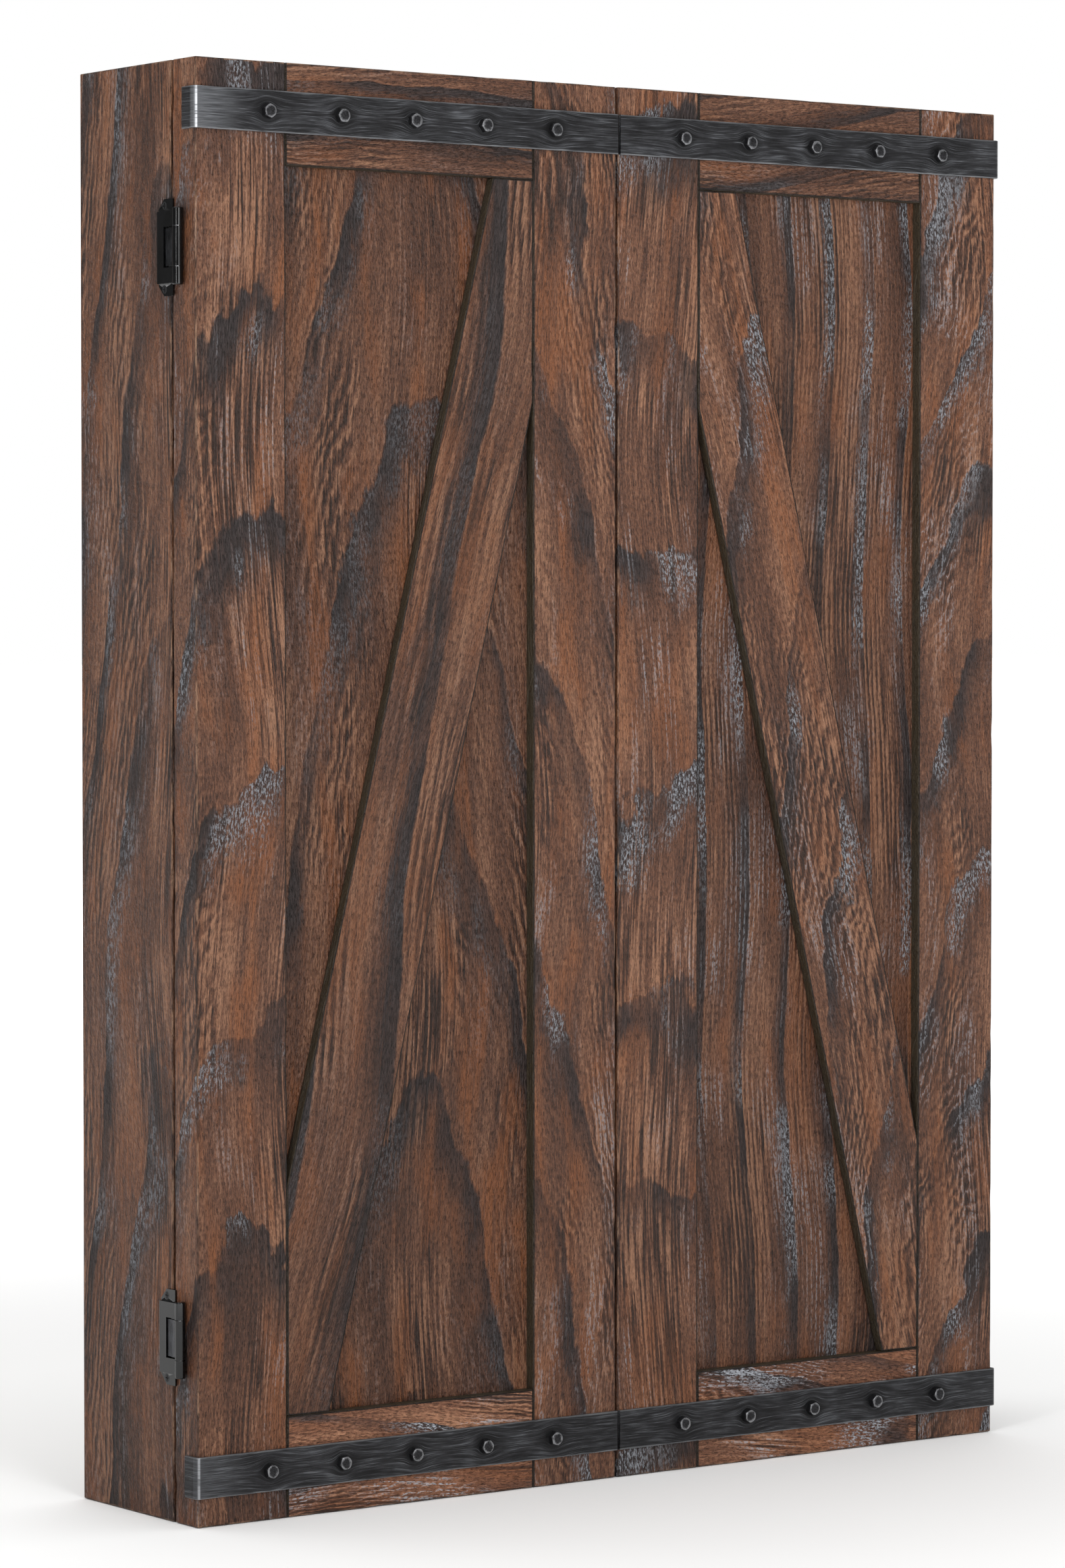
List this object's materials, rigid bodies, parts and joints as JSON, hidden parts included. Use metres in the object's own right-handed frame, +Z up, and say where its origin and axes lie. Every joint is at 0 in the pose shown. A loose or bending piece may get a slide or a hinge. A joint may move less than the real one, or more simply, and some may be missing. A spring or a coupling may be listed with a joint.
{
  "type": "two-door wall cabinet",
  "caption": "Shallow wall-hung cabinet with shelves behind a pair of side-hinged, diagonally braced doors with iron straps and hex bolts.",
  "frame": {"origin": "the middle of the back, in the plane of the wall", "axes": "+X to the right, +Y into the wall, +Z up; the doors face -Y"},
  "size_m": [0.63, 0.1363, 0.864],
  "materials": {
    "aged_wood": "wire-brushed dark brown stain with pale limed pores, satin",
    "back_board": "plain brown stained board, matt",
    "strap_iron": "blackened brushed flat bar with worn bright edges",
    "bolt_iron": "blackened hex heads with worn edges",
    "hinge_black": "gloss black",
    "pin_steel": "bright drawn steel",
    "spring_steel": "dark spring steel",
    "screw_black": "black oxide",
    "screw_zinc": "zinc plated",
    "dowel_beech": "plain beech",
    "catch_brown": "moulded dark brown",
    "magnet_ferrite": "ground ferrite",
    "bumper_clear": "clear soft pad"
  },
  "bodies": {
    "case": {"back_panel": "back_board", "back_screws": "screw_zinc", "case_bottom": "aged_wood", "case_dowels": "dowel_beech", "case_top": "aged_wood", "catch_magnets": "magnet_ferrite", "catch_screws": "screw_zinc", "door_bumpers": "bumper_clear", "frame_wing_screws": "screw_black", "left_case_side": "aged_wood", "left_lower_closing_spring": "spring_steel", "left_lower_frame_wing": "hinge_black", "left_lower_hinge_pin": "pin_steel", "left_upper_closing_spring": "spring_steel", "left_upper_frame_wing": "hinge_black", "left_upper_hinge_pin": "pin_steel", "lower_catch": "catch_brown", "lower_hanging_rail": "aged_wood", "lower_shelf": "aged_wood", "middle_shelf": "aged_wood", "right_case_side": "aged_wood", "right_lower_closing_spring": "spring_steel", "right_lower_frame_wing": "hinge_black", "right_lower_hinge_pin": "pin_steel", "right_upper_closing_spring": "spring_steel", "right_upper_frame_wing": "hinge_black", "right_upper_hinge_pin": "pin_steel", "shelf_pins": "pin_steel", "upper_catch": "catch_brown", "upper_hanging_rail": "aged_wood", "upper_shelf": "aged_wood"},
    "left_door": {"left_bottom_rail": "aged_wood", "left_brace": "aged_wood", "left_inner_stile": "aged_wood", "left_lower_door_wing": "hinge_black", "left_lower_strap": "strap_iron", "left_outer_stile": "aged_wood", "left_panel": "aged_wood", "left_strap_bolts": "bolt_iron", "left_strike_plates": "pin_steel", "left_strike_screws": "screw_zinc", "left_top_rail": "aged_wood", "left_upper_door_wing": "hinge_black", "left_upper_strap": "strap_iron", "left_wing_screws": "screw_zinc"},
    "right_door": {"right_bottom_rail": "aged_wood", "right_brace": "aged_wood", "right_inner_stile": "aged_wood", "right_lower_door_wing": "hinge_black", "right_lower_strap": "strap_iron", "right_outer_stile": "aged_wood", "right_panel": "aged_wood", "right_strap_bolts": "bolt_iron", "right_strike_plates": "pin_steel", "right_strike_screws": "screw_zinc", "right_top_rail": "aged_wood", "right_upper_door_wing": "hinge_black", "right_upper_strap": "strap_iron", "right_wing_screws": "screw_zinc"}
  },
  "joints": [
    {"name": "left_door_hinge", "type": "hinge", "parent": "case", "child": "left_door", "pos_m": [-0.3118, -0.1165, 0], "axis": [0, 0, -1], "range_deg": [0, 180]},
    {"name": "right_door_hinge", "type": "hinge", "parent": "case", "child": "right_door", "pos_m": [0.3118, -0.1165, 0], "axis": [0, 0, 1], "range_deg": [0, 180]}
  ]
}
